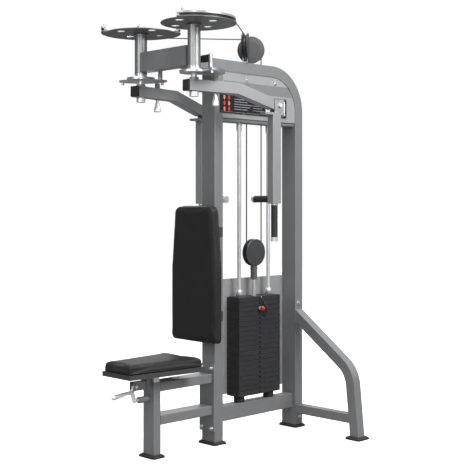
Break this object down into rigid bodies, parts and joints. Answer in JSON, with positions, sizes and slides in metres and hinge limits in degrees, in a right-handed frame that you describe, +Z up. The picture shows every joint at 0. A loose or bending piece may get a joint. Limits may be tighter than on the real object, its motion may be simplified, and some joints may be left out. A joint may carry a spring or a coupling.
{
  "type": "pec fly and rear delt machine",
  "caption": "Selector-stack chest fly machine: bent tube frame, two swinging arms on cams with hanging handles, cable and pulleys, tapered seat and tall back pad.",
  "frame": {"origin": "floor point under the centre of the front upright, on the underside of its rubber foot", "axes": "+Z up, -Y towards the seat, +X to the side with the stabilising leg"},
  "size_m": [0.9325, 1.3329, 2.181],
  "materials": {
    "frame_paint": "satin silver-grey powder coat",
    "arm_paint": "satin silver-grey powder coat",
    "chrome": "polished chrome plating",
    "zinc": "zinc plated",
    "cam_steel": "satin grey plated steel",
    "rubber": "matt black moulded rubber",
    "grip_rubber": "ribbed black grip",
    "upholstery": "black grained vinyl",
    "pad_board": "textured black plastic",
    "plates": "dark grey hammered paint",
    "cable_jacket": "black nylon jacket over steel cable",
    "pulley_nylon": "dark glass-filled nylon",
    "cover_sheet": "light grey painted sheet",
    "placard": "printed plate with plain shapes",
    "red_knob": "red moulded knob",
    "end_cap": "black moulded cap"
  },
  "bodies": {
    "frame": {"front_upright": "frame_paint", "rear_arch": "frame_paint", "cross_beam": "frame_paint", "pivot_bushes": "zinc", "base_beam": "frame_paint", "seat_post": "frame_paint", "seat_beams": "frame_paint", "stabiliser_beam": "frame_paint", "side_leg": "frame_paint", "frame_bolts": "zinc", "rubber_feet": "rubber", "stop_bumpers": "rubber", "rod_tie": "frame_paint", "guide_rods": "chrome", "stack_bumpers": "rubber", "resting_plates": "plates", "cover_sheets": "cover_sheet", "placard": "placard", "pad_frame": "pad_board", "back_pad": "upholstery", "pulley_brackets": "zinc", "pulley_shells": "pulley_nylon", "upper_cables": "cable_jacket", "cable_drops": "cable_jacket"},
    "right_cam": {"right_cam_disc": "cam_steel", "right_cam_shaft": "chrome", "right_sector": "zinc", "right_cam_cable": "cable_jacket"},
    "left_cam": {"left_cam_disc": "cam_steel", "left_cam_shaft": "chrome", "left_sector": "zinc", "left_cam_cable": "cable_jacket"},
    "right_arm_unit": {"right_arm": "arm_paint", "right_arm_cap": "end_cap"},
    "left_arm_unit": {"left_arm": "arm_paint", "left_arm_cap": "end_cap"},
    "right_pin_unit": {"right_pull_pin": "chrome"},
    "left_pin_unit": {"left_pull_pin": "chrome"},
    "right_handle_unit": {"right_handle": "arm_paint", "right_grips": "grip_rubber", "right_grip_caps": "chrome"},
    "left_handle_unit": {"left_handle": "arm_paint", "left_grips": "grip_rubber", "left_grip_caps": "chrome"},
    "right_pulley_unit": {"right_upper_pulley": "pulley_nylon"},
    "left_pulley_unit": {"left_upper_pulley": "pulley_nylon"},
    "stack": {"top_plate": "plates", "lifted_plates": "plates", "selector_stem": "chrome", "pulley_yoke": "zinc", "yoke_shells": "pulley_nylon", "cable_loop": "cable_jacket", "pin_lanyard": "cable_jacket"},
    "floating_pulley_unit": {"floating_pulley": "pulley_nylon"},
    "pin_unit": {"selector_pin": "red_knob"},
    "seat": {"seat_tube": "zinc", "seat_board": "pad_board", "seat_cushion": "upholstery"},
    "lever_unit": {"seat_lever": "chrome"},
    "lock_unit": {"lock_pin": "chrome"}
  },
  "joints": [
    {"name": "right_cam_turn", "type": "hinge", "parent": "frame", "child": "right_cam", "pos_m": [0.203, -0.316, 2], "axis": [0, 0, 1], "range_deg": [-100, 0]},
    {"name": "left_cam_turn", "type": "hinge", "parent": "frame", "child": "left_cam", "pos_m": [-0.203, -0.316, 2], "axis": [0, 0, 1], "range_deg": [0, 100]},
    {"name": "right_arm_set", "type": "hinge", "parent": "right_cam", "child": "right_arm_unit", "pos_m": [0.203, -0.316, 1.83], "axis": [0, 0, 1], "range_deg": [-72, 0]},
    {"name": "left_arm_set", "type": "hinge", "parent": "left_cam", "child": "left_arm_unit", "pos_m": [-0.203, -0.316, 1.83], "axis": [0, 0, 1], "range_deg": [0, 72]},
    {"name": "right_pin_pull", "type": "slide", "parent": "right_arm_unit", "child": "right_pin_unit", "axis": [0, 0, -1], "range_m": [0, 0.015], "stiffness_N_per_m": 900, "springref_m": -0.01},
    {"name": "right_handle_swing", "type": "hinge", "parent": "right_arm_unit", "child": "right_handle_unit", "pos_m": [0.27835, 0.20053, 1.761], "axis": [0.9895, -0.1444, 0], "range_deg": [-10, 20]},
    {"name": "left_pin_pull", "type": "slide", "parent": "left_arm_unit", "child": "left_pin_unit", "axis": [0, 0, -1], "range_m": [0, 0.015], "stiffness_N_per_m": 900, "springref_m": -0.01},
    {"name": "left_handle_swing", "type": "hinge", "parent": "left_arm_unit", "child": "left_handle_unit", "pos_m": [-0.27835, 0.20053, 1.761], "axis": [0.9895, 0.1444, 0], "range_deg": [-10, 20]},
    {"name": "stack_lift", "type": "slide", "parent": "frame", "child": "stack", "axis": [0, 0, 1], "range_m": [0, 0.3439], "deforming": ["cable_drops"]},
    {"name": "floating_pulley_spin", "type": "hinge", "parent": "stack", "child": "floating_pulley_unit", "pos_m": [0, 0.311, 0.989], "axis": [1, 0, 0], "continuous": true},
    {"name": "right_pulley_spin", "type": "hinge", "parent": "frame", "child": "right_pulley_unit", "pos_m": [0.03556, 0.20946, 2.096], "axis": [0.7815, 0.6239, 0], "range_deg": [0, 346.1]},
    {"name": "left_pulley_spin", "type": "hinge", "parent": "frame", "child": "left_pulley_unit", "pos_m": [-0.03068, 0.31996, 2.096], "axis": [0.8428, -0.5382, 0], "range_deg": [0, 346.1]},
    {"name": "selector_pin_pull", "type": "slide", "parent": "stack", "child": "pin_unit", "axis": [1, 0, 0], "range_m": [0, 0.12]},
    {"name": "seat_height", "type": "slide", "parent": "frame", "child": "seat", "axis": [0, 0, 1], "range_m": [0, 0.125]},
    {"name": "seat_lever_pull", "type": "hinge", "parent": "frame", "child": "lever_unit", "pos_m": [0, -0.525, 0.362], "axis": [-1, 0, 0], "range_deg": [0, 12], "stiffness_Nm_per_rad": 4, "springref_deg": -17.19},
    {"name": "lock_pin_pull", "type": "slide", "parent": "frame", "child": "lock_unit", "axis": [0, -1, 0], "range_m": [0, 0.0138]}
  ],
  "couplings": [
    {"joint": "left_cam_turn", "follows": "right_cam_turn", "ratio": -1},
    {"joint": "stack_lift", "follows": "right_cam_turn", "m_per_rad": -0.197},
    {"joint": "right_pulley_spin", "follows": "right_cam_turn", "ratio": -3.4561},
    {"joint": "left_pulley_spin", "follows": "right_cam_turn", "ratio": -3.4561},
    {"joint": "lock_pin_pull", "follows": "seat_lever_pull", "m_per_rad": 0.065}
  ]
}
